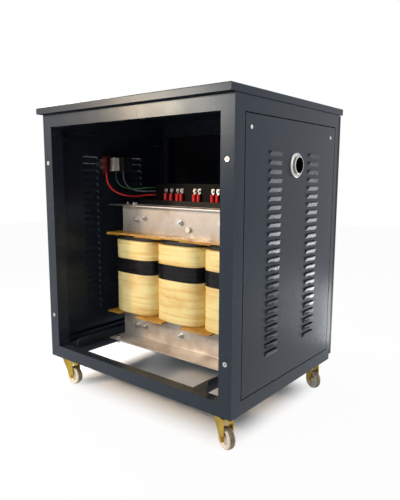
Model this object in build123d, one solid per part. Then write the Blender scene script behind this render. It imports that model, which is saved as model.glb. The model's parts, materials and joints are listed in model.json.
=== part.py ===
from build123d import *
import os
from math import atan2, cos, degrees, hypot, radians, sin, sqrt, tan

# A three-phase dry type transformer in a sheet steel cabinet on swivel casters.
# Millimetres, +Z up, front at -Y. The origin is on the floor under the middle of the cabinet.

# Cabinet
body_width = 780.0
frame_depth = 588.0
body_height = 850.0
caster_height = 98.0
lid_height = 20.0
lid_sheet = 2.0
lid_front_over = 22.0
lid_side_over = 4.0
lid_bend = 2.5

# Welded frame of rectangular tube
post_width = 42.0
front_post_depth = 44.0
rear_post_depth = 22.0
tube_wall = 2.0
foot_cap = 4.0
top_rail_show = 41.0
top_rail_depth = 25.0
bottom_rail_height = 40.0
bottom_rail_width = 40.0
front_rail_depth = 32.0
gusset_size = 58.0
gusset_sheet = 4.0

# Side panels with pressed louvres
panel_sheet = 1.5
panel_gap = 3.0
panel_return = 12.0
tongue_width = 26.0
tongue_drop = 12.0
slot_clearance = 0.5
louvre_count = 24
louvre_pitch = 24.3
louvre_length = 68.0
louvre_height = 14.0
louvre_reach = 5.5
louvre_slope = 11.0
louvre_column_offset = 112.0
louvre_top = 798.0
tab_sheet = 3.0
tab_size = 30.0
tab_reach = 46.0
tab_gap = 1.0
stop_width = 14.0
stop_end_gap = 1.0
panel_screw_drop = 36.0
panel_screw_inset_front = 24.0
panel_screw_inset_rear = 36.0
screw_radius = 2.5
screw_head_radius = 5.5
screw_head = 2.8
screw_length = 24.0

# Rear cover and the insert nuts for the front cover
cover_depth = 20.0
cover_sheet = 1.5
cover_side_inset = 2.0
cover_foot = 16.0
cover_head_gap = 2.0
insert_low = 150.0
insert_high = 672.0
insert_bore_radius = 2.5
insert_barrel_radius = 4.5
insert_flange_radius = 6.5
insert_flange = 1.2
insert_length = 13.0

# Conduit hub in the right side panel
hub_y = 12.0
hub_z = 761.0
hub_bore_radius = 22.0
hub_ring_radius = 25.5
hub_flange_radius = 35.5
hub_flange = 7.0
hub_ring_reach = 13.0
hub_thread_length = 16.0
hub_hole_clearance = 0.4
locknut_radius = 33.0
locknut_height = 7.0

# Base tray with turned-up sides and the cable cut-out
tray_sheet = 3.0
tray_inner_width = 568.0
tray_side_height = 31.5
tray_corner = 12.0
cutout_width = 470.0
cutout_depth = 145.0

# Transformer core, clamps and coils
core_y = 6.0
limb_pitch = 207.0
limb_width = 120.0
stack_depth = 94.0
yoke_height = 88.0
window_height = 302.0
clamp_sheet = 3.0
clamp_length = 564.0
clamp_seat = 4.0
foot_flange = 76.0
lower_web_height = 88.0
upper_web_lap = 3.0
upper_flange = 22.0
clamp_bolt_radius = 5.0
clamp_bolt_x = (-207.0, 0.0, 207.0)
side_bolt_x = (-170.0, 170.0)
side_bolt_rise = 7.0
foot_bolt_radius = 5.0
foot_bolt_x = 253.0
foot_bolt_in = 16.0
foot_bolt_across = 17.0
foot_washer_radius = 11.0
coil_gap = 5.0
coil_play = 3.0
coil_bulge = 5.0
coil_corner = 34.0
coil_top_space = 31.0
neck_height = 18.0
neck_step = 7.0
band_height = 52.0
band_rise = 148.0
band_sheet = 1.6

# Insulating boards
strip_width = 62.0
strip_sheet = 5.0
strip_over = 18.0
strip_inset = 1.0
board_sheet = 5.0
board_length = 600.0
board_depth = 62.0

# Bars, terminal board, lugs and leads on top of the transformer
bar_length = 650.0
bar_width = 32.0
bar_sheet = 3.5
bar_bolt_radius = 3.0
bar_bolt_x = (-267.0, -236.0, -222.0, 236.0, 267.0)
angle_length = 560.0
angle_leg = 34.0
angle_rise = 18.0
angle_sheet = 3.0
terminal_board_length = 470.0
terminal_board_height = 76.0
terminal_board_sheet = 8.0
terminal_set_back = 24.0
lug_x = (-177.0, -150.0, -120.0, -100.0, -40.0, -19.0, 41.0, 63.0, 115.0, 136.0, 188.0, 209.0)
lug_width = 12.0
lug_palm_length = 16.0
lug_palm_sheet = 2.4
lug_eye_rise = 51.0
boot_radius = 7.0
boot_length = 29.0
coil_lead_radius = 3.4
stud_radius = 2.5
thermostat_x = 36.0
thermostat_radius = 10.0
thermostat_depth = 9.0

# Terminal blocks on the left side panel
rail_y = 6.0
rail_z = 772.0
rail_length = 136.0
rail_height = 35.0
rail_depth = 7.5
rail_sheet = 1.2

# Casters
caster_side_inset = 54.0
caster_end_inset = 35.0
caster_plate_edge = 8.0
caster_plate_sheet = 3.0
caster_bolt_pitch = 40.0
caster_bolt_radius = 4.0
race_radius = 20.0
race_height = 6.0
fork_sheet = 2.5
fork_gap = 29.0
fork_front = 20.0
fork_rear = 31.0
fork_eye = 9.5
wheel_radius = 31.0
wheel_width = 24.0
wheel_crown = 5.0
caster_trail = 24.0
axle_radius = 4.0
running_fit = 0.05
caster_angles = {
    "front_left": 2.0,
    "front_right": -21.0,
    "rear_left": 200.0,
    "rear_right": -28.0,
}

# Worked out from the sizes above
half_width = body_width / 2
half_depth = frame_depth / 2
base_z = caster_height
lid_top = base_z + body_height
frame_top = lid_top - lid_sheet
lip_z = lid_top - lid_height
rail_low_z = lip_z - top_rail_show
floor_z = base_z + bottom_rail_height
post_inner_x = half_width - post_width
front_post_back = -half_depth + front_post_depth
rear_post_front = half_depth - rear_post_depth
side_length = rear_post_front - front_post_back
side_middle = (rear_post_front + front_post_back) / 2
core_z = floor_z + clamp_seat
core_top = core_z + 2 * yoke_height + window_height
core_front = core_y - stack_depth / 2
core_back = core_y + stack_depth / 2
window_z = core_z + yoke_height
coil_z = window_z + strip_sheet
coil_top = window_z + window_height - coil_top_space
neck_top = coil_top + neck_height
limb_x = (-limb_pitch, 0.0, limb_pitch)
strip_centre = (limb_pitch - strip_inset - strip_width) / 2
coil_half_x = (limb_pitch - coil_gap) / 2
coil_build = coil_half_x - limb_width / 2 - coil_play
coil_half_y = stack_depth / 2 + coil_play + coil_build
strip_front = core_y - coil_half_y - strip_over
strip_length = 2 * (coil_half_y + strip_over)
clamp_top = core_top + clamp_sheet
lower_bolt_z = core_z + yoke_height / 2
upper_bolt_z = core_top - yoke_height / 2
insert_x = half_width - post_width / 2
caster_x = half_width - caster_side_inset
caster_y = half_depth - caster_end_inset


def save(node, *shapes):
    solids = []
    for shape in shapes:
        solids += shape.solids()
    shape = solids[0] if len(solids) == 1 else Compound(children=solids)
    export_step(shape, f"parts/{node}.step")


def block(low, high):
    size = [b - a for a, b in zip(low, high)]
    return Pos(*low) * Box(*size, align=(Align.MIN, Align.MIN, Align.MIN))


def rod(radius, start, end):
    """A round bar from one point to another."""
    way = Vector(*end) - Vector(*start)
    plane = Plane(origin=start, z_dir=way)
    return extrude(plane * Circle(radius), amount=way.length)


def hexagon(across, start, end):
    way = Vector(*end) - Vector(*start)
    plane = Plane(origin=start, z_dir=way)
    return extrude(plane * RegularPolygon(across / 2, 6, major_radius=False), amount=way.length)


def tube(low, high, axis):
    """A rectangular tube, open at both ends along the axis."""
    inner_low = [a if i == axis else a + tube_wall for i, a in enumerate(low)]
    inner_high = [b if i == axis else b - tube_wall for i, b in enumerate(high)]
    return block(low, high) - block(inner_low, inner_high)


def mirror_x(shape):
    return mirror(shape, about=Plane.YZ)


# Frame

def caster_holes():
    holes = []
    for side in (-1, 1):
        for y in (-caster_y, caster_y):
            for dx in (-1, 1):
                for dy in (-1, 1):
                    x = side * caster_x + dx * caster_bolt_pitch / 2
                    at = y + dy * caster_bolt_pitch / 2
                    holes.append(rod(caster_bolt_radius, (x, at, base_z - 1), (x, at, base_z + foot_cap + 1)))
    return holes


def panel_screws_at():
    """Height and the two places along Y of a side panel's screws."""
    z = rail_low_z - panel_screw_drop
    front = front_post_back + panel_gap + panel_screw_inset_front
    rear = rear_post_front - panel_gap - panel_screw_inset_rear
    return z, front, rear


def panel_tab(front):
    """A welded tab behind the panel, bored for the panel's screw."""
    z, front_y, rear_y = panel_screws_at()
    outer = half_width - panel_sheet - panel_return - tab_gap
    span = (front_post_back, front_post_back + tab_reach)
    if not front:
        span = (rear_post_front - tab_reach, rear_post_front)
    y = front_y if front else rear_y
    tab = block((outer - tab_sheet, span[0], z - tab_size / 2), (outer, span[1], z + tab_size / 2))
    return tab - rod(screw_radius, (outer - tab_sheet - 1, y, z), (outer + 1, y, z))


def stop_strip(low_y, high_y, low_z, high_z):
    """A welded strip behind the side panel's folded edge."""
    outer = half_width - panel_sheet - panel_return - tab_gap
    return block((outer - tab_sheet, low_y, low_z), (outer, high_y, high_z))


def post(front):
    low = (post_inner_x, -half_depth if front else rear_post_front, base_z)
    high = (half_width, front_post_back if front else half_depth, frame_top)
    shape = tube(low, high, 2)
    shape += block(
        (low[0] + tube_wall, low[1] + tube_wall, base_z),
        (high[0] - tube_wall, high[1] - tube_wall, base_z + foot_cap),
    )
    shape += panel_tab(front)
    seam = front_post_back if front else rear_post_front - stop_width
    ends = stop_width + stop_end_gap
    shape += stop_strip(seam, seam + stop_width, floor_z + ends, rail_low_z - ends)
    if front:
        for z in (insert_low, insert_high):
            shape -= rod(insert_barrel_radius, (insert_x, low[1] - 1, base_z + z), (insert_x, low[1] + 5, base_z + z))
    else:
        for z in cover_screw_heights():
            shape -= rod(screw_radius, (insert_x, high[1] - 5, z), (insert_x, high[1] + 1, z))
    return shape


def cover_screw_heights():
    return (base_z + insert_low, base_z + insert_high)


def tongue_places():
    return (side_middle - side_length / 4, side_middle + side_length / 4)


def side_rail(top):
    if top:
        low = (half_width - top_rail_depth, front_post_back, rail_low_z)
        high = (half_width, rear_post_front, frame_top)
        strip = stop_strip(front_post_back, rear_post_front, rail_low_z - stop_width, rail_low_z)
        return tube(low, high, 1) + strip
    low = (half_width - bottom_rail_width, front_post_back, base_z)
    high = (half_width, rear_post_front, floor_z)
    shape = tube(low, high, 1)
    shape += stop_strip(front_post_back, rear_post_front, floor_z, floor_z + stop_width)
    inner = half_width - panel_sheet - panel_return
    for y in tongue_places():
        reach = tongue_width / 2 + slot_clearance
        shape -= block(
            (inner - slot_clearance, y - reach, floor_z - tube_wall - 1),
            (inner + panel_sheet + slot_clearance, y + reach, floor_z + 1),
        )
    corner = block((post_inner_x, -half_depth, base_z - 1), (half_width, front_post_back, frame_top))
    for y in (-half_depth + front_rail_depth, rear_post_front - gusset_size):
        gusset = block((low[0] - gusset_size, y, base_z), (low[0], y + gusset_size, base_z + gusset_sheet))
        shape += gusset - corner
    return shape


def cross_rail(front, top):
    """A rail along X between two posts."""
    depth = top_rail_depth if top else front_rail_depth
    if not front:
        depth = rear_post_depth
    low_y = -half_depth if front else half_depth - depth
    bottom = rail_low_z if top else base_z
    head = frame_top if top else floor_z
    return tube((-post_inner_x, low_y, bottom), (post_inner_x, low_y + depth, head), 0)


def make_frame():
    holes = caster_holes()
    for name, front in (("front", True), ("rear", False)):
        right = post(front) - holes
        save(f"{name}_right_post", right)
        save(f"{name}_left_post", mirror_x(right))
        save(f"top_{name}_rail", cross_rail(front, True))
        save(f"bottom_{name}_rail", cross_rail(front, False) - holes)
    right = side_rail(False) - holes
    save("bottom_right_rail", right)
    save("bottom_left_rail", mirror_x(right))
    save("top_right_rail", side_rail(True))
    save("top_left_rail", mirror_x(side_rail(True)))


# Sheet metal

def make_lid():
    low = (-half_width - lid_side_over, -half_depth - lid_front_over, lip_z)
    high = (half_width + lid_side_over, half_depth + lid_front_over, lid_top)
    shell = block(low, high)
    shell = fillet(shell.edges().filter_by(Axis.Z, reverse=True).group_by(Axis.Z)[-1], lid_bend)
    inner_low = (low[0] + lid_sheet, low[1] + lid_sheet, lip_z - 1)
    inner_high = (high[0] - lid_sheet, high[1] - lid_sheet, lid_top - lid_sheet)
    save("top_cover", shell - block(inner_low, inner_high))


def louvre(inner):
    """A pressed hood, open at its top. Local +Z is out of the panel and +Y is up."""
    wall = panel_sheet if inner else 0.0
    side_step = wall * sqrt(2)
    rise = louvre_slope / louvre_reach
    foot_step = wall * hypot(1, rise)
    faces = []
    for depth in (-panel_sheet, louvre_reach - wall):
        if not inner:
            depth = max(depth, -panel_sheet / 2)
        half = louvre_length / 2 - depth - side_step
        foot = depth * rise + foot_step
        corner = Plane(origin=(0, (foot + louvre_height) / 2, depth))
        faces.append(corner * Rectangle(2 * half, louvre_height - foot))
    return loft(faces, ruled=True)


def side_panel():
    """The right side panel: a folded tray with two columns of louvres."""
    low_y = front_post_back + panel_gap
    high_y = rear_post_front - panel_gap
    low_z = floor_z + panel_gap
    high_z = rail_low_z - panel_gap
    outer = half_width
    inner = outer - panel_sheet - panel_return
    sheet = panel_sheet
    shape = block((inner, low_y, low_z), (outer, high_y, high_z))
    shape -= block((inner - 1, low_y + sheet, low_z + sheet), (outer - sheet, high_y - sheet, high_z - sheet))
    hoods, slots = [], []
    for column in (-louvre_column_offset, louvre_column_offset):
        for i in range(louvre_count):
            z = louvre_top - i * louvre_pitch - louvre_height
            plane = Plane(origin=(outer, side_middle + column, z), x_dir=(0, 1, 0), z_dir=(1, 0, 0))
            hoods.append(plane * louvre(False))
            slots.append(plane * louvre(True))
    shape = shape + hoods
    shape = shape - slots
    z, front_y, rear_y = panel_screws_at()
    for y in (front_y, rear_y):
        shape -= rod(screw_radius, (outer - sheet - 1, y, z), (outer + 1, y, z))
    for y in tongue_places():
        shape += block((inner, y - tongue_width / 2, low_z - tongue_drop), (inner + sheet, y + tongue_width / 2, low_z + sheet))
    return shape


def make_panels():
    panel = side_panel()
    hole = hub_ring_radius + hub_hole_clearance
    save("right_side_panel", panel - rod(hole, (half_width - 5, hub_y, hub_z), (half_width + 5, hub_y, hub_z)))
    save("left_side_panel", mirror_x(panel))


def screw(face, way):
    """A pan head screw through a face at the origin's side, driven against the way given."""
    end = Vector(*face) - Vector(*way) * screw_length
    top = Vector(*face) + Vector(*way) * screw_head
    head = rod(screw_head_radius, face, tuple(top))
    axis = Axis(face, way)
    head = fillet(head.edges().group_by(axis)[-1], 1.2)
    return head + rod(screw_radius, tuple(end), face)


def make_screws():
    z, front_y, rear_y = panel_screws_at()
    screws = []
    for side in (-1, 1):
        for y in (front_y, rear_y):
            screws.append(screw((side * half_width, y, z), (side, 0, 0)))
        for height in cover_screw_heights():
            screws.append(screw((side * insert_x, half_depth + cover_depth, height), (0, 1, 0)))
    save("cover_screws", *screws)


def make_rear_cover():
    x = half_width - cover_side_inset
    low = (-x, half_depth, base_z + cover_foot)
    high = (x, half_depth + cover_depth, lip_z - cover_head_gap)
    shape = block(low, high)
    shape -= block(
        (low[0] + cover_sheet, low[1] - 1, low[2] + cover_sheet),
        (high[0] - cover_sheet, high[1] - cover_sheet, high[2] - cover_sheet),
    )
    for x in (-insert_x, insert_x):
        for z in cover_screw_heights():
            shape -= rod(screw_radius, (x, high[1] - 5, z), (x, high[1] + 1, z))
    save("rear_cover", shape)


def make_inserts():
    inserts = []
    for side in (-1, 1):
        for z in cover_screw_heights():
            face = -half_depth
            x = side * insert_x
            nut = rod(insert_flange_radius, (x, face - insert_flange, z), (x, face, z))
            nut += rod(insert_barrel_radius, (x, face, z), (x, face + insert_length - insert_flange, z))
            inserts.append(nut - rod(insert_bore_radius, (x, face - 5, z), (x, face + insert_length + 5, z)))
    save("front_cover_inserts", *inserts)


def make_tray():
    half = tray_inner_width / 2
    front = -half_depth + front_rail_depth
    shape = block((-half - tray_sheet, front, floor_z - tray_sheet), (half + tray_sheet, rear_post_front, floor_z))
    for side in (-1, 1):
        x = side * (half + tray_sheet / 2)
        wall = Pos(x, 0, 0) * block(
            (-tray_sheet / 2, front, floor_z), (tray_sheet / 2, rear_post_front, floor_z + tray_side_height)
        )
        edge = wall.edges().filter_by(Axis.X).group_by(Axis.Z)[-1].sort_by(Axis.Y)[0]
        shape += fillet(edge, tray_corner)
    x = cutout_width / 2
    shape -= block((-x, front - 1, floor_z - tray_sheet - 1), (x, front + cutout_depth, floor_z + 1))
    for x, y in foot_bolt_places():
        shape -= rod(foot_bolt_radius, (x, y, floor_z - tray_sheet - 1), (x, y, floor_z + 1))
    save("base_tray", shape)


# Conduit hub

def make_conduit_hub():
    start = half_width - panel_sheet - hub_thread_length
    centre = (hub_y, hub_z)
    barrel = rod(hub_ring_radius, (start, *centre), (half_width + hub_ring_reach, *centre))
    flange = rod(hub_flange_radius, (half_width, *centre), (half_width + hub_flange, *centre))
    flange = fillet(flange.edges().group_by(Axis.X)[-1], 4.0)
    groove_start = half_width + hub_flange - 3
    groove = rod(hub_flange_radius - 5, (groove_start, *centre), (half_width + hub_flange + 1, *centre))
    bore = rod(hub_bore_radius, (start - 1, *centre), (half_width + hub_ring_reach + 1, *centre))
    hub = flange - groove + barrel - bore
    rim = hub.edges().filter_by(GeomType.CIRCLE).group_by(Axis.X)[-1]
    save("conduit_hub", chamfer(rim, 1.0))
    back = half_width - panel_sheet
    nut = rod(locknut_radius, (back - locknut_height, *centre), (back, *centre))
    for i in range(8):
        angle = radians(45 * i)
        y, z = hub_y + locknut_radius * cos(angle), hub_z + locknut_radius * sin(angle)
        nut -= rod(3.5, (back - locknut_height - 1, y, z), (back + 1, y, z))
    nut -= rod(hub_ring_radius, (back - locknut_height - 1, *centre), (back + 1, *centre))
    save("conduit_locknut", nut)


# Transformer

def clamp_bolt_places():
    places = [(x, z) for x in clamp_bolt_x for z in (lower_bolt_z, upper_bolt_z)]
    return places + [(x, z) for x in side_bolt_x for z in (lower_bolt_z, upper_bolt_z + side_bolt_rise)]


def bolt_holes(margin=2.0):
    start, end = core_front - clamp_sheet - margin, core_back + clamp_sheet + margin
    return [rod(clamp_bolt_radius, (x, start, z), (x, end, z)) for x, z in clamp_bolt_places()]


def foot_bolt_places():
    reach = stack_depth / 2 + clamp_sheet + foot_flange - foot_bolt_in
    return [(side * foot_bolt_x, core_y + way * reach) for side in (-1, 1) for way in (-1, 1)]


def make_core():
    half = limb_pitch + limb_width / 2
    shape = block((-half, core_front, core_z), (half, core_back, core_top))
    window = limb_pitch - limb_width
    for x in (-limb_pitch / 2, limb_pitch / 2):
        shape -= block((x - window / 2, core_front - 1, window_z), (x + window / 2, core_back + 1, window_z + window_height))
    save("laminated_core", shape - bolt_holes())


def lower_clamp():
    """Front lower clamp: a web against the yoke and a foot flange on the tray."""
    half = clamp_length / 2
    back = core_front
    web = block((-half, back - clamp_sheet, floor_z), (half, back, floor_z + lower_web_height))
    foot = block((-half, back - clamp_sheet - foot_flange, floor_z), (half, back, floor_z + clamp_sheet))
    shape = web + foot
    inner = shape.edges().filter_by(Axis.X).filter_by_position(Axis.Y, back - clamp_sheet - 0.1, back - clamp_sheet + 0.1)
    shape = fillet(inner.group_by(Axis.Z)[0], 3.0)
    for x, y in foot_bolt_places():
        shape -= rod(foot_bolt_radius, (x, y, floor_z - 1), (x, y, floor_z + clamp_sheet + 1))
    return shape - bolt_holes()


def upper_clamp():
    """Front upper clamp: a web against the yoke and a flange over its top."""
    half = clamp_length / 2
    back = core_front
    low = window_z + window_height - upper_web_lap
    web = block((-half, back - clamp_sheet, low), (half, back, clamp_top))
    flange = block((-half, back - clamp_sheet, core_top), (half, back + upper_flange, clamp_top))
    shape = web + flange
    for x in bar_bolt_x:
        at = core_front + 8
        shape -= rod(bar_bolt_radius, (x, at, core_top - 1), (x, at, clamp_top + 1))
    return shape - bolt_holes()


def across_core(shape):
    """The same piece on the other side of the core."""
    return mirror(shape, about=Plane.XZ.offset(-core_y))


def make_clamps():
    lower, upper = lower_clamp(), upper_clamp()
    save("front_lower_clamp", lower)
    save("rear_lower_clamp", across_core(lower))
    save("front_upper_clamp", upper)
    save("rear_upper_clamp", across_core(upper))


def clamp_bolt(x, z):
    """A bolt through both clamps with its washers, its nut in front and its head behind."""
    radius = clamp_bolt_radius
    front, back = core_front - clamp_sheet, core_back + clamp_sheet
    washer, head = 0.3 * radius, 1.3 * radius
    nut_end = front - washer - 1.6 * radius
    shape = rod(radius, (x, nut_end - 1.4 * radius, z), (x, back + washer, z))
    shape += rod(2.1 * radius, (x, front - washer, z), (x, front, z))
    shape += rod(2.1 * radius, (x, back, z), (x, back + washer, z))
    shape += hexagon(3.4 * radius, (x, nut_end, z), (x, front - washer, z))
    shape += hexagon(3.4 * radius, (x, back + washer, z), (x, back + washer + head, z))
    return shape


def make_bolts():
    save("clamp_bolts", *[clamp_bolt(x, z) for x, z in clamp_bolt_places()])
    bolts = []
    for x, y in foot_bolt_places():
        top, bottom = floor_z + clamp_sheet, floor_z - tray_sheet
        bolt = rod(foot_bolt_radius, (x, y, bottom - 12), (x, y, top))
        bolt += rod(foot_washer_radius, (x, y, top), (x, y, top + 1.6))
        bolt += hexagon(foot_bolt_across, (x, y, top + 1.6), (x, y, top + 8))
        bolts.append(bolt + hexagon(foot_bolt_across, (x, y, bottom - 8), (x, y, bottom)))
    save("foot_bolts", *bolts)


def coil_outline(grow):
    """A wound coil's section: flat sides, rounded corners and bowed front and back."""
    half_x, half_y = coil_half_x + grow, coil_half_y + grow
    side_y = half_y - coil_bulge - coil_corner
    front_x = half_x - coil_corner
    front_y = half_y - coil_bulge
    corner = coil_corner * (1 - sqrt(0.5))
    lines = []
    for way in (1, -1):
        bow = ThreePointArc((-way * front_x, way * front_y), (0, way * half_y), (way * front_x, way * front_y))
        turn = ThreePointArc(
            (way * front_x, way * front_y),
            (way * (half_x - corner), way * (front_y - corner)),
            (way * half_x, way * side_y),
        )
        side = Line((way * half_x, way * side_y), (way * half_x, -way * side_y))
        back_turn = ThreePointArc(
            (way * half_x, -way * side_y),
            (way * (half_x - corner), -way * (front_y - corner)),
            (way * front_x, -way * front_y),
        )
        lines += [bow, turn, side, back_turn]
    return make_face(Wire(lines))


def make_coils():
    hole = Rectangle(limb_width + 2 * coil_play, stack_depth + 2 * coil_play)
    bands = []
    for name, x in zip(("left", "middle", "right"), limb_x):
        place = Pos(x, core_y, coil_z)
        coil = place * extrude(coil_outline(0) - hole, amount=coil_top - coil_z)
        coil += Pos(x, core_y, coil_top) * extrude(coil_outline(-neck_step) - hole, amount=neck_height)
        save(f"{name}_coil", coil)
        band = extrude(coil_outline(band_sheet) - coil_outline(0), amount=band_height)
        bands.append(Pos(x, core_y, coil_z + band_rise) * band)
    save("coil_bands", *bands)


def make_boards():
    strips = []
    for x in limb_x:
        for side in (-1, 1):
            centre = x + side * strip_centre
            low = (centre - strip_width / 2, strip_front)
            high = (centre + strip_width / 2, strip_front + strip_length)
            limb = limb_width / 2
            notch = block((x - limb, core_front, window_z - 1), (x + limb, core_back, core_top))
            for z in (window_z, neck_top):
                strips.append(block((*low, z), (*high, z + strip_sheet)) - notch)
    save("coil_strips", *strips)
    back = core_front - clamp_sheet - 1
    z = neck_top + strip_sheet
    board = block((-board_length / 2, back - board_depth, z), (board_length / 2, back, z + board_sheet))
    save("barrier_board", board)


def make_bars():
    back = core_front + upper_flange
    bar = block((-bar_length / 2, back - bar_width - upper_flange, clamp_top), (bar_length / 2, back - 6, clamp_top + bar_sheet))
    bolts = []
    at = core_front + 8
    for x in bar_bolt_x:
        bar -= rod(bar_bolt_radius, (x, at, clamp_top - 1), (x, at, clamp_top + bar_sheet + 1))
        top = clamp_top + bar_sheet
        bolt = rod(bar_bolt_radius, (x, at, core_top), (x, at, top + 8))
        bolts.append(bolt + hexagon(10, (x, at, top), (x, at, top + 5)))
    save("front_bar", bar)
    save("bar_bolts", *bolts)
    front = core_back + clamp_sheet
    angle = block((-angle_length / 2, front, clamp_top), (angle_length / 2, front + angle_leg, clamp_top + angle_sheet))
    angle += block((-angle_length / 2, front - angle_sheet, clamp_top), (angle_length / 2, front, clamp_top + angle_rise))
    for x in lug_x:
        angle -= rod(coil_lead_radius + 1, (x, lead_y(), clamp_top - 1), (x, lead_y(), clamp_top + angle_sheet + 1))
    save("rear_angle", angle)


def terminal_y():
    """The front face of the terminal board."""
    return core_back + clamp_sheet + terminal_set_back


def lead_y():
    """The line of the risers and their boots."""
    return terminal_y() - boot_radius


def lead_foot(x):
    """A riser stands on the upper strip beneath it, or else on the neck of its coil."""
    for limb in limb_x:
        if abs(abs(x - limb) - strip_centre) <= strip_width / 2 + coil_lead_radius:
            return neck_top + strip_sheet
    return neck_top


def make_terminals():
    low = clamp_top + angle_sheet
    half = terminal_board_length / 2
    face = terminal_y()
    board = block((-half, face, low), (half, face + terminal_board_sheet, low + terminal_board_height))
    eye_z = low + lug_eye_rise
    lugs, boots, leads, studs = [], [], [], []
    for x in lug_x:
        board -= rod(stud_radius, (x, face - 1, eye_z), (x, face + terminal_board_sheet + 1, eye_z))
        palm = block(
            (x - lug_width / 2, face - lug_palm_sheet, eye_z - lug_palm_length / 2),
            (x + lug_width / 2, face, eye_z + lug_palm_length / 2),
        )
        palm -= rod(stud_radius, (x, face - 5, eye_z), (x, face + 1, eye_z))
        barrel_top = eye_z - lug_palm_length / 2
        boot_top = barrel_top - 3
        lugs.append(palm + block((x - 3, face - lug_palm_sheet, boot_top), (x + 3, face, barrel_top)))
        boot_y = lead_y()
        boots.append(rod(boot_radius, (x, boot_y, boot_top - boot_length), (x, boot_y, boot_top)))
        leads.append(rod(coil_lead_radius, (x, boot_y, lead_foot(x)), (x, boot_y, boot_top - boot_length)))
        stud = rod(stud_radius, (x, face - lug_palm_sheet - 7, eye_z), (x, face + terminal_board_sheet + 4, eye_z))
        stud += hexagon(9, (x, face - lug_palm_sheet - 4, eye_z), (x, face - lug_palm_sheet, eye_z))
        back = face + terminal_board_sheet
        studs.append(stud + hexagon(9, (x, back, eye_z), (x, back + 3.5, eye_z)))
    save("terminal_board", board)
    save("cable_lugs", *lugs)
    save("lug_boots", *boots)
    save("coil_leads", *leads)
    save("terminal_studs", *studs)
    web = core_front - clamp_sheet
    z = window_z + window_height + 22
    disc = rod(thermostat_radius, (thermostat_x, web - thermostat_depth, z), (thermostat_x, web, z))
    save("thermostat", fillet(disc.edges().group_by(Axis.Y)[0], 2.0))


# Terminal blocks on the left panel

def make_terminal_rail():
    back = -half_width + panel_sheet
    low_z, high_z = rail_z - rail_height / 2, rail_z + rail_height / 2
    low_y, high_y = rail_y - rail_length / 2, rail_y + rail_length / 2
    web_z = 9.0
    top = back + rail_depth
    rail = block((back, low_y, rail_z - web_z), (back + rail_sheet, high_y, rail_z + web_z))
    for side in (-1, 1):
        step = sorted((rail_z + side * web_z, rail_z + side * (web_z - rail_sheet)))
        rail += block((back, low_y, step[0]), (top, high_y, step[1]))
        lip = sorted((rail_z + side * (web_z - rail_sheet), rail_z + side * rail_height / 2))
        rail += block((top - rail_sheet, low_y, lip[0]), (top, high_y, lip[1]))
    save("terminal_rail", rail)
    seat = top
    blocks = {
        "red_terminal_block": [((seat, -54, rail_z - 30), (seat + 26, -38, rail_z + 30))],
        "white_terminal_blocks": [
            ((seat, -20 + 15 * i, rail_z - 24), (seat + 26, -7 + 15 * i, rail_z + 24)) for i in range(2)
        ],
        "black_terminal_block": [((seat, 16, rail_z - 28), (seat + 40, 60, rail_z + 28))],
    }
    for node, boxes in blocks.items():
        save(node, *[block(low, high) for low, high in boxes])


# Casters

def caster_places():
    for name in caster_angles:
        x = -caster_x if "left" in name else caster_x
        y = -caster_y if "front" in name else caster_y
        yield name, x, y


def make_casters():
    plates, bolts = [], []
    plate_z = base_z - caster_plate_sheet
    pin_radius = 5.0
    fork_top = plate_z - race_height
    axle_z = wheel_radius
    for name, x, y in caster_places():
        half = caster_bolt_pitch / 2 + caster_plate_edge
        plate = block((x - half, y - half, plate_z), (x + half, y + half, base_z))
        plate = fillet(plate.edges().filter_by(Axis.Z), 5.0)
        plate += Pos(x, y, plate_z - race_height / 2) * Cylinder(race_radius, race_height)
        plate += rod(pin_radius, (x, y, fork_top - fork_sheet - 1.5), (x, y, fork_top))
        plate += rod(pin_radius + 4, (x, y, fork_top - fork_sheet - 4), (x, y, fork_top - fork_sheet - 1.0))
        for dx in (-1, 1):
            for dy in (-1, 1):
                at = (x + dx * caster_bolt_pitch / 2, y + dy * caster_bolt_pitch / 2)
                plate -= rod(caster_bolt_radius, (*at, plate_z - 1), (*at, base_z + 1))
                bolt = rod(caster_bolt_radius, (*at, plate_z), (*at, base_z + foot_cap))
                bolts.append(bolt + hexagon(11, (*at, plate_z - 3), (*at, plate_z)))
        plates.append(plate)
        turn = Pos(x, y, 0) * Rot(0, 0, caster_angles[name])
        save(f"{name}_fork", turn * fork(fork_top, axle_z, pin_radius))
        save(f"{name}_wheel", turn * wheel(axle_z))
    save("caster_plates", *plates)
    save("caster_bolts", *bolts)


def fork(top, axle_z, pin_radius):
    """Fork with its riveted axle. The wheel trails along local +X."""
    crown = Pos(0, 0, top - fork_sheet / 2 - 0.3) * Cylinder(race_radius, fork_sheet)
    crown_z = top - fork_sheet - 0.3
    half = fork_gap / 2
    shape = crown + block(
        (-fork_front, -half - fork_sheet, crown_z), (fork_rear, half + fork_sheet, crown_z + fork_sheet)
    )
    eye = fork_eye
    outline = Polyline(
        (-fork_front, crown_z + fork_sheet), (fork_rear, crown_z + fork_sheet), (caster_trail + eye, axle_z),
        (caster_trail, axle_z - eye), (caster_trail - eye, axle_z), close=True,
    )
    leg = Plane.XZ * make_face(outline)
    ring = Plane.XZ * Pos(caster_trail, axle_z) * Circle(eye)
    for start in (half, -half - fork_sheet):
        for face in (leg, ring):
            plate = extrude(face, amount=fork_sheet)
            shape += Pos(0, start - plate.bounding_box().min.Y, 0) * plate
    shape -= rod(pin_radius + running_fit, (0, 0, crown_z - 1), (0, 0, top + 1))
    reach = half + fork_sheet + 3
    axle = rod(axle_radius, (caster_trail, -reach, axle_z), (caster_trail, reach, axle_z))
    for side in (-1, 1):
        near = side * (half + fork_sheet)
        axle += rod(6.0, (caster_trail, near, axle_z), (caster_trail, side * reach, axle_z))
    return shape + axle


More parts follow.
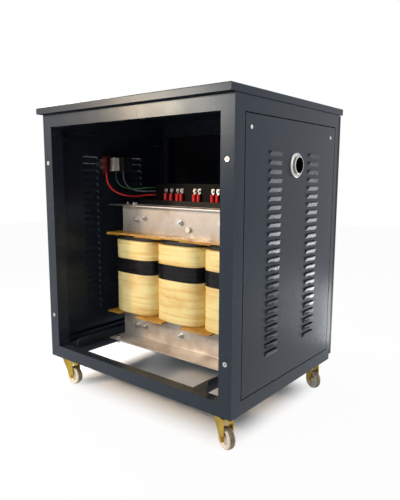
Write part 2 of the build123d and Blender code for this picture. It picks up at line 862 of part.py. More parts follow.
def wheel(axle_z):
    half = wheel_width / 2
    edge = wheel_radius - wheel_crown
    profile = make_face(Wire([
        Line((axle_radius + running_fit, -half - 1.5), (10, -half - 1.5)),
        Line((10, -half - 1.5), (12, -half + 2)),
        Line((12, -half + 2), (edge - 4, -half + 2)),
        Line((edge - 4, -half + 2), (edge, -half)),
        ThreePointArc((edge, -half), (wheel_radius, 0), (edge, half)),
        Line((edge, half), (edge - 4, half - 2)),
        Line((edge - 4, half - 2), (12, half - 2)),
        Line((12, half - 2), (10, half + 1.5)),
        Line((10, half + 1.5), (axle_radius + running_fit, half + 1.5)),
        Line((axle_radius + running_fit, half + 1.5), (axle_radius + running_fit, -half - 1.5)),
    ]))
    body = revolve(profile, Axis.Y)
    return Pos(caster_trail, 0, axle_z) * body


# Leads

def corner_radii(points, label):
    """The largest arc that each corner leaves room for."""
    radii = []
    for before, here, after in zip(points, points[1:], points[2:]):
        first, second = Vector(*here) - Vector(*before), Vector(*after) - Vector(*here)
        turn = radians(first.get_angle(second))
        radii.append(0.45 * min(first.length, second.length) / tan(turn / 2))
    print(label, "radii", [round(r, 1) for r in radii])
    return radii


def lead(points, radius, label):
    path = FilletPolyline(*points, radius=corner_radii(points, label))
    length = path.length
    tube_solid = sweep(Plane(origin=path @ 0, z_dir=path % 0) * Circle(radius), path=path)
    print(label, "length", round(length, 1), "volume ratio", round(tube_solid.volume / (3.14159265 * radius**2 * length), 4))
    return tube_solid


def make_leads():
    """Leads from the blocks to the near end of the terminal board."""
    end_x = -terminal_board_length / 2
    end_y = terminal_y() + terminal_board_sheet / 2
    seat = -half_width + panel_sheet + rail_depth
    routes = {
        "red_lead": (3.2, [
            (seat + 15, -46, rail_z - 30), (seat + 15, -46, 712), (seat + 26, -38, 684), (seat + 47, -20, 664),
            (seat + 69, 8, 654), (seat + 87, 40, 652), (end_x - 41, end_y - 16, 656), (end_x - 27, end_y, 658),
            (end_x, end_y, 658),
        ]),
        "black_lead": (2.6, [
            (seat + 24, 30, rail_z - 28), (seat + 24, 30, 718), (seat + 31, 36, 696), (seat + 45, 48, 680),
            (seat + 67, 62, 672), (end_x - 53, end_y - 6, 670), (end_x - 27, end_y, 672), (end_x, end_y, 672),
        ]),
        "green_lead": (2.2, [
            (seat + 13, 1.5, rail_z - 24), (seat + 13, 1.5, 722), (seat + 19, 8, 700), (seat + 31, 22, 686),
            (seat + 49, 42, 680), (seat + 71, 62, 680), (end_x - 49, end_y - 6, 684), (end_x - 25, end_y, 686),
            (end_x, end_y, 686),
        ]),
    }
    for node, (radius, points) in routes.items():
        save(node, lead(points, radius, node))


def main():
    os.makedirs("parts", exist_ok=True)
    make_frame()
    make_lid()
    make_panels()
    make_rear_cover()
    make_screws()
    make_inserts()
    make_tray()
    make_conduit_hub()
    make_core()
    make_clamps()
    make_bolts()
    make_coils()
    make_boards()
    make_bars()
    make_terminals()
    make_terminal_rail()
    make_casters()
    make_leads()


main()
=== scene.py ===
import json
from math import cos, pi, radians, sin

import bmesh
import bpy
from mathutils import Matrix, Vector


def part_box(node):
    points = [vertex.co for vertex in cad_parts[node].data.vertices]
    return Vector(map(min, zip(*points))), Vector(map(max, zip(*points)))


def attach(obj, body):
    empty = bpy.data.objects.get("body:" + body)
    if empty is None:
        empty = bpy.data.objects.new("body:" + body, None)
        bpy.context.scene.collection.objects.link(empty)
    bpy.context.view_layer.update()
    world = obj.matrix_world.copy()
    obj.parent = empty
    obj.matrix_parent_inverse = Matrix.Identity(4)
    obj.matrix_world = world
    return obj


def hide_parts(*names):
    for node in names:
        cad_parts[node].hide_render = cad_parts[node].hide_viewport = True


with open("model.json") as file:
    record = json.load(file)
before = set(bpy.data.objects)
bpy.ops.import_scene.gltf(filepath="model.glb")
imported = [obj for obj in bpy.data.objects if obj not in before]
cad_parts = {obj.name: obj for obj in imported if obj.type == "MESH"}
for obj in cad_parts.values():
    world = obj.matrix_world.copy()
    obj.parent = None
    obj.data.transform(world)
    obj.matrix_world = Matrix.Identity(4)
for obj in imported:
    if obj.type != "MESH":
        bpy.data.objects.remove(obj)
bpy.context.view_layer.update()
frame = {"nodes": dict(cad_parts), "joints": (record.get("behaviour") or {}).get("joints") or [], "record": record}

MM = 0.001
nodes = frame["nodes"]


# Node groups shared by the finishes

def new_group(name, inputs, outputs):
    """An empty group. inputs and outputs are (name, socket type, default)."""
    group = bpy.data.node_groups.new(name, "ShaderNodeTree")
    for socket, kind, value in inputs:
        made = group.interface.new_socket(socket, in_out="INPUT", socket_type=kind)
        made.default_value = value
    for socket, kind in outputs:
        group.interface.new_socket(socket, in_out="OUTPUT", socket_type=kind)
    start = group.nodes.new("NodeGroupInput")
    end = group.nodes.new("NodeGroupOutput")
    return group, start.outputs, end.inputs


def feed(tree, socket, value):
    """Links a value that is a socket, and sets any other."""
    if isinstance(value, bpy.types.NodeSocket):
        tree.links.new(value, socket)
    else:
        socket.default_value = value


def add(tree, kind, **values):
    """A node with its inputs set or linked by name, and its properties by lower-case name."""
    node = tree.nodes.new("ShaderNode" + kind)
    for key, value in values.items():
        if key.islower():
            setattr(node, key, value)
        else:
            feed(tree, node.inputs[key.replace("_", " ")], value)
    return node


def maths(tree, operation, first, second=0.0, clamp=False):
    """The result of an operation on values or sockets."""
    node = tree.nodes.new("ShaderNodeMath")
    node.operation, node.use_clamp = operation, clamp
    feed(tree, node.inputs[0], first)
    feed(tree, node.inputs[1], second)
    return node.outputs[0]


def mixed(tree, mask, first, second):
    """Two colours mixed by a mask."""
    node = tree.nodes.new("ShaderNodeMix")
    node.data_type = "RGBA"
    for index, value in ((0, mask), (6, first), (7, second)):
        feed(tree, node.inputs[index], value)
    return node.outputs[2]


def stretched(tree, scale):
    """Object coordinates with each axis scaled."""
    place = add(tree, "TexCoord").outputs["Object"]
    return add(tree, "Mapping", Vector=place, Scale=scale).outputs[0]


def noise(tree, scale, detail, **more):
    """Noise in Object coordinates, with a frequency for each axis."""
    place = stretched(tree, scale)
    return add(tree, "TexNoise", Vector=place, Scale=1.0, Detail=detail, **more).outputs[0]


def ramp(tree, value, low, high):
    """0 below the low value, 1 above the high one."""
    return add(tree, "MapRange", Value=value, From_Min=low, From_Max=high).outputs[0]


def spread_to(tree, value, low, high):
    """A value from 0 to 1 laid out between two others."""
    return add(tree, "MapRange", Value=value, To_Min=low, To_Max=high).outputs[0]


def look_group(name, base, stain, more):
    """A group that gives a finish its colour, roughness and height."""
    return new_group(
        name,
        [
            ("Base", "NodeSocketColor", (*base, 1)),
            ("Stain", "NodeSocketColor", (*stain, 1)),
            *[(socket, "NodeSocketFloat", value) for socket, value in more],
        ],
        [
            ("Color", "NodeSocketColor"),
            ("Roughness", "NodeSocketFloat"),
            ("Height", "NodeSocketFloat"),
        ],
    )


def stained(group, given, cloud, low, high):
    """The base colour with stains where the cloud is dense, and how dense it is."""
    spread = ramp(group, cloud, low, high)
    mask = maths(group, "MULTIPLY", spread, given["Amount"], clamp=True)
    return mixed(group, mask, given["Base"], given["Stain"]), spread


def make_grime_group():
    """Soft stains over a base colour, and a fine surface height."""
    sizes = (("Size", 8.0), ("Amount", 0.4), ("Grain", 900.0), ("Low", 0.35), ("High", 0.5))
    group, given, out = look_group("grime", (0.5, 0.5, 0.5), (0.2, 0.2, 0.2), sizes)
    place = add(group, "TexCoord").outputs["Object"]
    cloud = add(group, "TexNoise", Vector=place, Scale=given["Size"], Detail=5.0, Roughness=0.6)
    colour, spread = stained(group, given, cloud.outputs[0], 0.42, 0.7)
    fine = add(group, "TexNoise", Vector=place, Scale=given["Grain"], Detail=2.0).outputs[0]
    clouded, grained = maths(group, "MULTIPLY", spread, 0.7), maths(group, "MULTIPLY", fine, 0.3)
    rough = spread_to(group, maths(group, "ADD", clouded, grained), given["Low"], given["High"])
    for socket, value in (("Color", colour), ("Height", fine), ("Roughness", rough)):
        group.links.new(value, out[socket])
    return group


def make_brushed_group():
    """Fine straight scratches along X with clouded staining."""
    sizes = (("Amount", 0.5), ("Low", 0.25), ("High", 0.5))
    group, given, out = look_group("brushed", (0.6, 0.6, 0.6), (0.3, 0.3, 0.3), sizes)
    lines = noise(group, (6, 900, 900), 3.0)
    place = add(group, "TexCoord").outputs["Object"]
    cloud = add(group, "TexNoise", Vector=place, Scale=14.0, Detail=6.0, Roughness=0.65)
    colour, _ = stained(group, given, cloud.outputs[0], 0.45, 0.72)
    rough = spread_to(group, lines, given["Low"], given["High"])
    for socket, value in (("Color", colour), ("Roughness", rough), ("Height", lines)):
        group.links.new(value, out[socket])
    return group


grime = make_grime_group()
brushed = make_brushed_group()


def plain_material(name):
    """A new material, its node tree and its Principled shader."""
    mat = bpy.data.materials.new(name)
    mat.use_nodes = True
    return mat, mat.node_tree, mat.node_tree.nodes["Principled BSDF"]


def finish_surface(tree, surface, colour, rough, strength, distance, height):
    """Joins a colour, a roughness and a bumped height to a Principled shader."""
    bump = add(tree, "Bump", Strength=strength, Distance=distance, Height=height)
    tree.links.new(colour, surface.inputs["Base Color"])
    tree.links.new(rough, surface.inputs["Roughness"])
    tree.links.new(bump.outputs[0], surface.inputs["Normal"])


FINISH_RELIEF = 0.0002


def material(name, group, values, bump, **shader):
    """A finish: one group's colour, roughness and height feed a Principled shader."""
    mat, tree, surface = plain_material(name)
    look = tree.nodes.new("ShaderNodeGroup")
    look.node_tree = group
    for key, value in values.items():
        look.inputs[key].default_value = (*value, 1) if isinstance(value, tuple) else value
    colour, rough, height = (look.outputs[key] for key in ("Color", "Roughness", "Height"))
    finish_surface(tree, surface, colour, rough, bump, FINISH_RELIEF, height)
    for key, value in shader.items():
        surface.inputs[key.replace("_", " ")].default_value = value
    return mat


PAINT_GRAIN = 700.0


def painted(name, colour, stain, low=0.35, high=0.5, amount=0.35, size=6.0, **more):
    """A painted, moulded or coated surface. low and high are its roughness."""
    values = {
        "Base": colour, "Stain": stain, "Low": low, "High": high,
        "Amount": amount, "Size": size, "Grain": PAINT_GRAIN,
    }
    return material(name, grime, values, bump=0.25, **more)


def metal(name, colour, stain, low=0.22, high=0.42, amount=0.5, **more):
    """Bare or plated metal. low and high are its roughness."""
    values = {"Base": colour, "Stain": stain, "Low": low, "High": high, "Amount": amount}
    return material(name, brushed, values, bump=0.15, Metallic=1.0, **more)


NAVY, NAVY_STAIN = (0.021, 0.028, 0.040), (0.016, 0.022, 0.033)
SHEEN = (0.62, 0.80, 1.0, 1)
ZINC, ZINC_STAIN = (0.62, 0.62, 0.61), (0.35, 0.34, 0.33)
cabinet_paint = painted(
    "cabinet_paint", NAVY, NAVY_STAIN, 0.24, 0.34, Specular_IOR_Level=0.28, Specular_Tint=SHEEN,
)
lid_paint = painted(
    "lid_paint", NAVY, NAVY_STAIN, 0.28, 0.36, Specular_IOR_Level=0.26, Specular_Tint=SHEEN,
)
# Painted shade: the rear cover gets a darker copy of the cabinet paint, as its inside lies in shade.
shaded_cover_paint = painted(
    "shaded_cover_paint", (0.012, 0.014, 0.019), (0.009, 0.010, 0.014), 0.4, 0.5, Specular_IOR_Level=0.1,
)
clamp_paint = material(
    "clamp_paint", grime,
    {
        "Base": (0.56, 0.53, 0.49), "Stain": (0.30, 0.25, 0.20), "Size": 13.0, "Amount": 0.75,
        "Grain": 300.0, "Low": 0.28, "High": 0.5,
    },
    bump=0.3, Metallic=0.35,
)
amber_board = material(
    "amber_board", grime,
    {
        "Base": (0.56, 0.31, 0.050), "Stain": (0.22, 0.09, 0.012), "Size": 26.0, "Amount": 0.8,
        "Grain": 260.0, "Low": 0.22, "High": 0.45,
    },
    bump=0.3,
)
zinc_steel = metal("zinc_steel", ZINC, ZINC_STAIN)
bright_bar = metal("bright_bar", (0.72, 0.70, 0.67), (0.42, 0.39, 0.35))
tinned_copper = metal("tinned_copper", (0.82, 0.80, 0.77), (0.55, 0.52, 0.48), 0.16, 0.3)
yellow_zinc = metal("yellow_zinc", (0.50, 0.34, 0.045), (0.22, 0.13, 0.03), 0.2, 0.42, 0.8)
core_steel = painted(
    "core_steel", (0.10, 0.10, 0.105), (0.04, 0.035, 0.03), 0.35, 0.6, 0.7, 20.0,
)
black_insulation = painted(
    "black_insulation", (0.02, 0.02, 0.021), (0.035, 0.034, 0.033), 0.3, 0.45,
)
# The terminal board's own black, made darker than black plastic: painted shade at the back of the cabinet.
black_and_shaded_board = painted(
    "black_and_shaded_board", (0.003, 0.003, 0.0035), (0.005, 0.005, 0.005), 0.5, 0.65,
    Specular_IOR_Level=0.08,
)
# Painted shade: the rear angle is coloured near-black, as the back of the cabinet lies in shade.
shaded_angle_paint = painted(
    "shaded_angle_paint", (0.006, 0.006, 0.007), (0.015, 0.014, 0.013), 0.4, 0.6, 0.5, 12.0,
    Specular_IOR_Level=0.2,
)
red_plastic = painted("red_plastic", (0.78, 0.02, 0.02), (0.50, 0.01, 0.01), 0.2, 0.32)
# Painted shade: a darker copy of the red plastic for the red terminal block, which lies in shade.
shaded_red = painted("shaded_red", (0.09, 0.006, 0.007), (0.04, 0.004, 0.004), 0.3, 0.45)
white_plastic = painted("white_plastic", (0.92, 0.90, 0.82), (0.75, 0.72, 0.62), 0.25, 0.4)
green_plastic = painted("green_plastic", (0.02, 0.12, 0.035), (0.015, 0.07, 0.02), 0.3, 0.45)
grey_wire = painted("grey_wire", (0.10, 0.11, 0.13), (0.06, 0.06, 0.07), 0.25, 0.4)
wheel_plastic = painted(
    "wheel_plastic", (0.76, 0.73, 0.66), (0.52, 0.46, 0.36), 0.28, 0.42, 0.4, 30.0,
)
tread_rubber = painted(
    "tread_rubber", (0.34, 0.26, 0.15), (0.12, 0.09, 0.06), 0.45, 0.65, 0.9, 40.0,
)


CREAM, OCHRE = (0.83, 0.74, 0.36, 1), (0.72, 0.50, 0.14, 1)
BROWN, PALE = (0.62, 0.38, 0.09, 1), (0.88, 0.80, 0.56, 1)


def coil_tape():
    """Varnished cream tape: level windings with ochre streaks where the varnish has run."""
    mat, tree, surface = plain_material("coil_tape")
    streaks = noise(tree, (5, 5, 90), 4.0, Roughness=0.6)
    clouds = noise(tree, (9, 9, 16), 4.0)
    lines = noise(tree, (3, 3, 420), 2.0)
    colour = CREAM
    for mask, share, tint in (
        (ramp(tree, streaks, 0.46, 0.66), 0.85, OCHRE),
        (ramp(tree, clouds, 0.5, 0.72), 0.6, BROWN),
        (ramp(tree, lines, 0.5, 0.8), 0.3, PALE),
    ):
        colour = mixed(tree, maths(tree, "MULTIPLY", mask, share), colour, tint)
    streaked, lined = maths(tree, "MULTIPLY", streaks, 0.6), maths(tree, "MULTIPLY", lines, 0.4)
    height = maths(tree, "ADD", streaked, lined)
    finish_surface(tree, surface, colour, spread_to(tree, clouds, 0.34, 0.6), 0.55, 0.0016, height)
    return mat


def band_tape():
    """Glossy black tape with level wrinkles."""
    mat, tree, surface = plain_material("band_tape")
    surface.inputs["Specular IOR Level"].default_value = 0.16
    folds = noise(tree, (14, 14, 120), 3.0)
    # Painted shade: the colour is darker in the hollows of the wrinkles and lighter on their crests.
    fold_shade = ramp(tree, folds, 0.35, 0.7)
    colour = mixed(tree, fold_shade, (0.006, 0.006, 0.007, 1), (0.012, 0.012, 0.014, 1))
    finish_surface(tree, surface, colour, spread_to(tree, folds, 0.16, 0.32), 0.35, 0.0015, folds)
    return mat


BORE_MARGIN = 0.0008
# Painted shade: the hub's bore is coloured near-black and matt, as the shade inside the hole.
BORE_SHADE, BORE_ROUGHNESS = (0.002, 0.002, 0.002, 1), 0.8


def hub_steel(place, radius):
    """Zinc outside and painted shade in the bore: the distance from the hub's axis, along X, sets which."""
    mat = metal("hub_steel", ZINC, ZINC_STAIN)
    tree = mat.node_tree
    surface = tree.nodes["Principled BSDF"]
    axes = tree.nodes.new("ShaderNodeSeparateXYZ")
    tree.links.new(add(tree, "TexCoord").outputs["Object"], axes.inputs[0])
    square = 0.0
    for value, middle in ((axes.outputs[1], place.y), (axes.outputs[2], place.z)):
        off = maths(tree, "SUBTRACT", value, middle)
        square = maths(tree, "ADD", maths(tree, "MULTIPLY", off, off), square)
    inside = maths(tree, "LESS_THAN", maths(tree, "SQRT", square), radius + BORE_MARGIN)
    colour, rough = surface.inputs["Base Color"], surface.inputs["Roughness"]
    zinc, plain = colour.links[0].from_socket, rough.links[0].from_socket
    tree.links.new(mixed(tree, inside, zinc, BORE_SHADE), colour)
    matt = maths(tree, "MULTIPLY", inside, BORE_ROUGHNESS)
    tree.links.new(maths(tree, "MAXIMUM", plain, matt), rough)
    return mat


def dress(finish, *names):
    """Gives CAD nodes a finish."""
    for name in names:
        if not nodes[name].material_slots:
            nodes[name].data.materials.append(finish)
        for item in nodes[name].material_slots:
            item.material = finish


CORNERS = ("front_left", "front_right", "rear_left", "rear_right")
SIDES = ("front", "rear", "left", "right")
COILS = ("left_coil", "middle_coil", "right_coil")
BORE_RADIUS = 0.022
entry = next(m for m in frame["record"]["mounts"] if m["name"] == "conduit_entry")
tape, band, hub = coil_tape(), band_tape(), hub_steel(Vector(entry["pos_m"]), BORE_RADIUS)
dress(
    cabinet_paint, *[f"{corner}_post" for corner in CORNERS],
    *[f"{level}_{side}_rail" for level in ("top", "bottom") for side in SIDES],
    "left_side_panel", "right_side_panel", "base_tray",
)
dress(lid_paint, "top_cover")
dress(shaded_cover_paint, "rear_cover")
dress(hub, "conduit_hub", "conduit_locknut")
dress(
    zinc_steel, "front_cover_inserts", "cover_screws", "clamp_bolts", "foot_bolts", "bar_bolts",
    "terminal_studs", "caster_bolts", "terminal_rail",
)
dress(
    clamp_paint, "front_lower_clamp", "rear_lower_clamp", "front_upper_clamp", "rear_upper_clamp",
)
dress(shaded_angle_paint, "rear_angle")
dress(core_steel, "laminated_core")
dress(tape, *COILS)
dress(band, "coil_bands")
dress(amber_board, "coil_strips", "barrier_board")
dress(bright_bar, "front_bar")
dress(black_and_shaded_board, "terminal_board")
dress(tinned_copper, "cable_lugs")
dress(red_plastic, "lug_boots", "red_lead")
dress(shaded_red, "red_terminal_block")
dress(white_plastic, "white_terminal_blocks", "thermostat")
dress(black_insulation, "black_terminal_block", "coil_leads")
dress(grey_wire, "black_lead")
dress(green_plastic, "green_lead")
dress(yellow_zinc, "caster_plates", *[f"{corner}_fork" for corner in CORNERS])
dress(wheel_plastic, *[f"{corner}_wheel" for corner in CORNERS])


# Making pieces

def finish_piece(bm, name, finish, body="cabinet"):
    """Turns a bmesh into a smooth piece that rides on a body."""
    mesh = bpy.data.meshes.new(name)
    bm.to_mesh(mesh)
    bm.free()
    mesh.materials.append(finish)
    mesh.polygons.foreach_set("use_smooth", [True] * len(mesh.polygons))
    piece = bpy.data.objects.new(name, mesh)
    bpy.context.scene.collection.objects.link(piece)
    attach(piece, body)
    return piece


# Coils

COIL_STEPS = 96
COIL_POWER, HOLE_POWER = 3.6, 9.0
HOLE_HALF = Vector((0.063, 0.050))
NECK = 0.018
NECK_STEP = 0.007
NECK_GAP = 0.0005
NECK_EDGE = 0.003
COIL_EDGE = 0.005
TURNS = 22
TURN_DEPTH = 0.0013
COIL_WAVE = 0.0006
BAND_PROUD = 0.0016
BAND_EDGE = 0.0012
BAND_TURNS = 9
BAND_STEP, BAND_GROOVE = 0.0005, 0.0009
BAND_WAVE = 0.0003


def coil_ring(centre, half, z, power):
    """Points of a rounded section, in order round the coil."""
    ring = []
    for i in range(COIL_STEPS):
        angle = 2 * pi * i / COIL_STEPS
        c, s = cos(angle), sin(angle)
        reach = (abs(c) ** power + abs(s) ** power) ** (-1 / power)
        ring.append(Vector((centre.x + half.x * reach * c, centre.y + half.y * reach * s, z)))
    return ring


def lumps(seed, angle, z):
    """How far the windings stand proud or sink at a place, from -1 to 1."""
    return (
        0.45 * sin(3 * angle + seed + 21 * z) + 0.3 * sin(7 * angle - 2.1 * seed + 55 * z)
        + 0.25 * sin(2 * angle + 140 * z + 1.7 * seed)
    )


def ordered_copy(bm, ring, edges):
    """Extrudes a ring of edges, and gives the new ring in the old one's order."""
    made = bmesh.ops.extrude_edge_only(bm, edges=edges)["geom"]
    verts = {g for g in made if isinstance(g, bmesh.types.BMVert)}
    made_edges = [g for g in made if isinstance(g, bmesh.types.BMEdge)]
    new_edges = [edge for edge in made_edges if all(v in verts for v in edge.verts)]
    following = []
    for vert in ring:
        others = [edge.other_vert(vert) for edge in vert.link_edges]
        following.append(next(other for other in others if other in verts))
    return following, new_edges


def turn_of(vert):
    """The angle of a vertex of the first circle, from 0 to a full turn."""
    return Vector((1, 0)).angle_signed(Vector(vert.co.xy)) % (2 * pi)


def wound_ring(name, centre, half, levels, finish, seed, wave=COIL_WAVE):
    """A closed ring round a limb. levels are (height, shrink), and None is the inner hole."""
    bm = bmesh.new()
    circle = bmesh.ops.create_circle(bm, cap_ends=False, segments=COIL_STEPS, radius=1.0)
    ring = sorted(circle["verts"], key=turn_of, reverse=True)
    edges = list(bm.edges)

    def place(verts, z, shrink):
        inner = shrink is None
        shape = HOLE_HALF if inner else half - Vector((shrink, shrink))
        points = coil_ring(centre, shape, z, HOLE_POWER if inner else COIL_POWER)
        for i, (vert, point) in enumerate(zip(verts, points)):
            out = (point - Vector((centre.x, centre.y, z))).normalized()
            step = 0.0 if inner else wave * (lumps(seed, 2 * pi * i / COIL_STEPS, z) - 1.0)
            vert.co = point + out * step

    place(ring, *levels[0])
    for level in levels[1:]:
        ring, edges = ordered_copy(bm, ring, edges)
        place(ring, *level)
    bmesh.ops.bridge_loops(bm, edges=[e for e in bm.edges if e.is_boundary])
    bmesh.ops.recalc_face_normals(bm, faces=bm.faces)
    return finish_piece(bm, name, finish)


def rounded(low, high, edge, middle=()):
    """Levels of a ring with rounded top and bottom edges, closed by its inner hole."""
    part = 0.3 * edge
    return [
        (low, None), (low, edge), (low + part, part), (low + edge, 0.0), *middle,
        (high - edge, 0.0), (high - part, part), (high, edge), (high, None),
    ]


def winding_levels(low, top, seed):
    """Every other turn sinks a little, by an amount that varies up the coil."""
    levels = []
    for i in range(2, TURNS - 1):
        depth = TURN_DEPTH * (i % 2) * (0.4 + 0.6 * abs(sin(i * 1.7 + seed)))
        levels.append((low + (top - low) * i / TURNS, depth))
    return rounded(low, top, COIL_EDGE, levels)


def band_levels(low, high):
    """Level wrinkles, with every third one deeper."""
    levels = []
    for i in range(1, BAND_TURNS):
        step = BAND_STEP + BAND_GROOVE * (i % 3 == 1)
        levels.append((low + (high - low) * i / BAND_TURNS, step))
    return rounded(low, high, BAND_EDGE, levels)


def make_coil(node, seed):
    """Windings, the narrower neck above them, and the black band round them."""
    low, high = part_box(node)
    centre = (low + high) / 2
    half = Vector(((high.x - low.x) / 2, (high.y - low.y) / 2))
    top = high.z - NECK
    windings = wound_ring(
        f"{node}_windings", centre, half, winding_levels(low.z, top, seed), tape, seed,
    )
    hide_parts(node)
    neck = wound_ring(
        f"{node}_neck", centre, half - Vector((NECK_STEP, NECK_STEP)),
        rounded(top, high.z - NECK_GAP, NECK_EDGE), black_insulation, seed + 2,
    )
    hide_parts(node)
    band_low, band_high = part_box("coil_bands")
    wrap = wound_ring(
        f"{node}_band", centre, half + Vector((BAND_PROUD, BAND_PROUD)),
        band_levels(band_low.z, band_high.z), band, seed + 5, BAND_WAVE,
    )
    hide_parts("coil_bands")


for count, coil in enumerate(COILS):
    make_coil(coil, 1.3 + 2.1 * count)


# Wheels

# Half profiles in metres: along the axis from the middle, and radius
HUB_SIDE = (
    (0.0135, 0.0041), (0.0135, 0.0085), (0.0115, 0.0098), (0.0062, 0.0112), (0.0058, 0.0185),
    (0.0098, 0.0202), (0.0112, 0.0228), (0.0118, 0.0262), (0.0102, 0.0284), (0.0070, 0.0298),
)
TREAD_SIDE = ((0.0072, 0.0285), (0.0070, 0.0302), (0.0055, 0.0307), (0.0025, 0.031))
CAP_END = ((0.0195, 0.0006), (0.0192, 0.0030), (0.0180, 0.0042))
WHEEL_STEPS, CAP_STEPS = 56, 20


def spun(profile, centre, axis, steps):
    """A bmesh turned about an axis. The profile is (along the axis, radius), in metres."""
    bm = bmesh.new()
    up = Vector((0, 0, 1))
    verts = [bm.verts.new(centre + axis * along + up * radius) for along, radius in profile]
    edges = [bm.edges.new(pair) for pair in zip(verts, verts[1:] + verts[:1])]
    bmesh.ops.spin(
        bm, geom=verts + edges, cent=centre, axis=axis, angle=2 * pi, steps=steps, use_merge=True,
    )
    bmesh.ops.remove_doubles(bm, verts=bm.verts, dist=1e-6)
    bmesh.ops.recalc_face_normals(bm, faces=bm.faces)
    return bm


def both_sides(half):
    """A half profile and its mirror image."""
    return [*half, *[(-along, radius) for along, radius in reversed(half)]]


def make_wheel(corner):
    """A waisted hub with a tread band, and small caps on the ends of the axle."""
    joint = next(j for j in frame["joints"] if j["name"] == f"{corner}_wheel_joint")
    centre, axis = Vector(joint["pos_m"]), Vector(joint["axis"]).normalized()
    for part, half, finish in (
        ("core", HUB_SIDE, wheel_plastic), ("tread", TREAD_SIDE, tread_rubber),
    ):
        shape = spun(both_sides(half), centre, axis, WHEEL_STEPS)
        piece = finish_piece(
            shape, f"{corner}_wheel_{part}", finish, f"{corner}_roller",
        )
        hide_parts(f"{corner}_wheel")
    for end, way in (("near", 1), ("far", -1)):
        cap = spun(CAP_END, centre, axis * way, CAP_STEPS)
        name = f"{corner}_axle_cap_{end}"
        finish_piece(cap, name, zinc_steel, f"{corner}_swivel")


for corner in CORNERS:
    make_wheel(corner)


# Leads, on the same control points as their tubes

def make_lead(name, node, points, diameter, finish):
    """A plain lead along points in millimetres. Its diameter is in metres."""
    curve = bpy.data.curves.new(name, "CURVE")
    curve.dimensions = "3D"
    curve.bevel_depth = diameter / 2
    curve.bevel_resolution = 4
    curve.resolution_u = 10
    curve.use_fill_caps = True
    spline = curve.splines.new("NURBS")
    spline.points.add(len(points) - 1)
    for point, place in zip(spline.points, points):
        point.co = (*[v * MM for v in place], 1)
    spline.order_u = 3
    spline.use_endpoint_u = True
    curve.materials.append(finish)
    lead = bpy.data.objects.new(name, curve)
    bpy.context.scene.collection.objects.link(lead)
    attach(lead, "cabinet")
    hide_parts(node)


make_lead("red_lead_tube", "red_lead", [
    (-366, -46, 742), (-366, -46, 712), (-355, -38, 684), (-334, -20, 664), (-312, 8, 654),
    (-294, 40, 652), (-276, 68, 656), (-262, 84, 658), (-235, 84, 658),
], 0.0064, red_plastic)
make_lead("black_lead_tube", "black_lead", [
    (-357, 30, 744), (-357, 30, 718), (-350, 36, 696), (-336, 48, 680), (-314, 62, 672),
    (-288, 78, 670), (-262, 84, 672), (-235, 84, 672),
], 0.0052, grey_wire)
make_lead("green_lead_tube", "green_lead", [
    (-368, 1.5, 748), (-368, 1.5, 722), (-362, 8, 700), (-350, 22, 686), (-332, 42, 680),
    (-310, 62, 680), (-284, 78, 684), (-260, 84, 686), (-235, 84, 686),
], 0.0044, green_plastic)


# Floor, light and camera

WHITE = (1, 1, 1)
# How much of the open floor is white for seen rays. The rest shows its light and shadow.
WHITE_SHARE = 0.96
# Where the floor shows its shadow instead: its middle is left of the origin, and along X and
# Y the white begins at the first distance from it and is gone at the second.
SHADE_SHIFT = 0.06
SHADE_EDGES = ((0.45, 0.34), (0.30, 0.16))
SOFT_SKY, SOFT_STRENGTH = (0.92, 0.95, 1.0, 1), 0.18
CAMERA_PLACE = (1.0925, -1.2927, 0.7285)
CAMERA_TURN, CAMERA_DIP, CAMERA_ROLL = radians(38.96), radians(8.39), radians(0.23)
SENSOR_HEIGHT, LENS = 24.0, 23.966


def seen_rays(tree):
    """1 for the rays that show the background: the camera's, and those of gloss and glass."""
    path = tree.nodes.new("ShaderNodeLightPath")
    looks = maths(tree, "ADD", path.outputs["Is Camera Ray"], path.outputs["Is Glossy Ray"])
    return maths(tree, "ADD", looks, path.outputs["Is Transmission Ray"], clamp=True)


def mix_shaders(tree, mask, first, second, end):
    """Joins two shaders, mixed by a mask, to an output."""
    mix = tree.nodes.new("ShaderNodeMixShader")
    for socket, value in zip(mix.inputs, (mask, first.outputs[0], second.outputs[0])):
        tree.links.new(value, socket)
    tree.links.new(mix.outputs[0], end.inputs[0])


def make_floor():
    """A plain pale floor. Seen rays find it white, and under the cabinet its real shadow."""
    bm = bmesh.new()
    bmesh.ops.create_grid(bm, x_segments=1, y_segments=1, size=6.0)
    mesh = bpy.data.meshes.new("studio_floor")
    bm.to_mesh(mesh)
    bm.free()
    floor = bpy.data.objects.new("studio_floor", mesh)
    bpy.context.scene.collection.objects.link(floor)
    mat, tree, surface = plain_material("studio_floor")
    surface.inputs["Base Color"].default_value = (0.9, 0.9, 0.9, 1)
    surface.inputs["Roughness"].default_value = 0.8
    place = tree.nodes.new("ShaderNodeSeparateXYZ")
    tree.links.new(add(tree, "TexCoord").outputs["Object"], place.inputs[0])
    shifted = maths(tree, "ADD", place.outputs[0], SHADE_SHIFT)
    shade = 1.0
    for value, (clear, full) in zip((shifted, place.outputs[1]), SHADE_EDGES):
        reach = maths(tree, "ABSOLUTE", value)
        side = add(
            tree, "MapRange", Value=reach, From_Min=clear, From_Max=full,
            interpolation_type="SMOOTHSTEP",
        )
        shade = maths(tree, "MULTIPLY", side.outputs[0], shade)
    open_floor = maths(tree, "SUBTRACT", WHITE_SHARE, maths(tree, "MULTIPLY", shade, WHITE_SHARE))
    white = add(tree, "Emission", Color=(*WHITE, 1), Strength=1.0)
    seen = maths(tree, "MULTIPLY", seen_rays(tree), open_floor)
    mix_shaders(tree, seen, surface, white, tree.nodes["Material Output"])
    mesh.materials.append(mat)


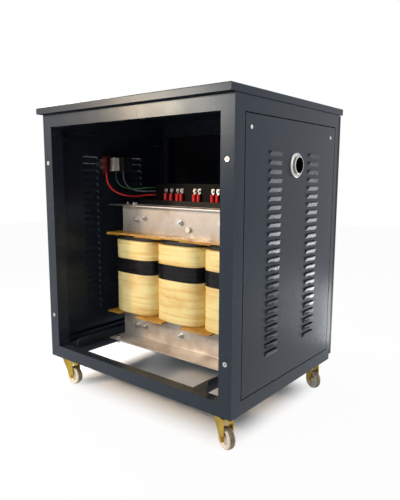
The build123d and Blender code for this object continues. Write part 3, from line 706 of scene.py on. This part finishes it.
def make_world():
    """A soft pale sky for the object, and white for the rays that show the background."""
    world = bpy.data.worlds.new("studio")
    bpy.context.scene.world = world
    world.use_nodes = True
    tree = world.node_tree
    tree.nodes.clear()
    soft = add(tree, "Background", Color=SOFT_SKY, Strength=SOFT_STRENGTH)
    white = add(tree, "Background", Color=(*WHITE, 1), Strength=1.0)
    mix_shaders(tree, seen_rays(tree), soft, white, tree.nodes.new("ShaderNodeOutputWorld"))


def make_area(name, place, size, power, colour):
    """A rectangular area lamp that the camera doesn't see."""
    lamp = bpy.data.lights.new(name, "AREA")
    lamp.shape = "RECTANGLE"
    lamp.size, lamp.size_y = size
    lamp.energy = power
    lamp.color = colour
    obj = bpy.data.objects.new(name, lamp)
    obj.location = place
    obj.visible_camera = False
    bpy.context.scene.collection.objects.link(obj)
    return obj


def make_lamp(name, place, target, size, power, colour=WHITE):
    """An area lamp that faces a target."""
    lamp = make_area(name, place, size, power, colour)
    lamp.rotation_euler = (Vector(target) - Vector(place)).to_track_quat("-Z", "Y").to_euler()


def make_strip(name, place, turn, size, power):
    """A strip lamp that lies on the floor and faces up."""
    lamp = make_area(name, place, size, power, WHITE)
    lamp.rotation_euler = (pi, 0, radians(turn))


def make_camera():
    """Turned about Z, dipped below level, and rolled a little about its own axis."""
    camera = bpy.data.cameras.new("camera")
    camera.sensor_fit = "VERTICAL"
    camera.sensor_height = SENSOR_HEIGHT
    camera.lens = LENS
    camera.clip_start = 0.05
    obj = bpy.data.objects.new("camera", camera)
    turn = Matrix.Rotation(CAMERA_TURN, 4, "Z")
    dip = Matrix.Rotation(pi / 2 - CAMERA_DIP, 4, "X")
    roll = Matrix.Rotation(CAMERA_ROLL, 4, "Z")
    obj.matrix_world = Matrix.Translation(CAMERA_PLACE) @ turn @ dip @ roll
    bpy.context.scene.collection.objects.link(obj)
    bpy.context.scene.camera = obj


make_floor()
make_world()
make_lamp("key_light", (-1.25, -2.0, 1.3), (0.1, 0.0, 0.45), (0.5, 0.35), 20, (1.0, 0.86, 0.70))
make_lamp(
    "warm_light", (-1.40, -1.88, 1.21), (0.1, -0.3, 0.93), (0.20, 0.14), 22, (1.0, 0.66, 0.38),
)
make_lamp("front_light", (0.0, -2.5, 1.75), (0.0, 0.0, 0.4), (1.0, 0.8), 21)
make_lamp("right_light", (2.8, 0.5, 1.5), (0.3, 0.0, 0.5), (1.0, 1.6), 16)
make_strip("glint_light", (0.68, 1.24, 0.015), -22.8, (0.15, 1.2), 6)
make_lamp("left_light", (-1.1, 0.15, 1.25), (-0.39, 0.1, 0.45), (0.4, 0.8), 26)
make_lamp("top_light", (0.0, 0.2, 2.9), (0.0, 0.0, 0.9), (1.8, 1.8), 26)
make_camera()
bpy.context.scene.view_settings.view_transform = "Standard"
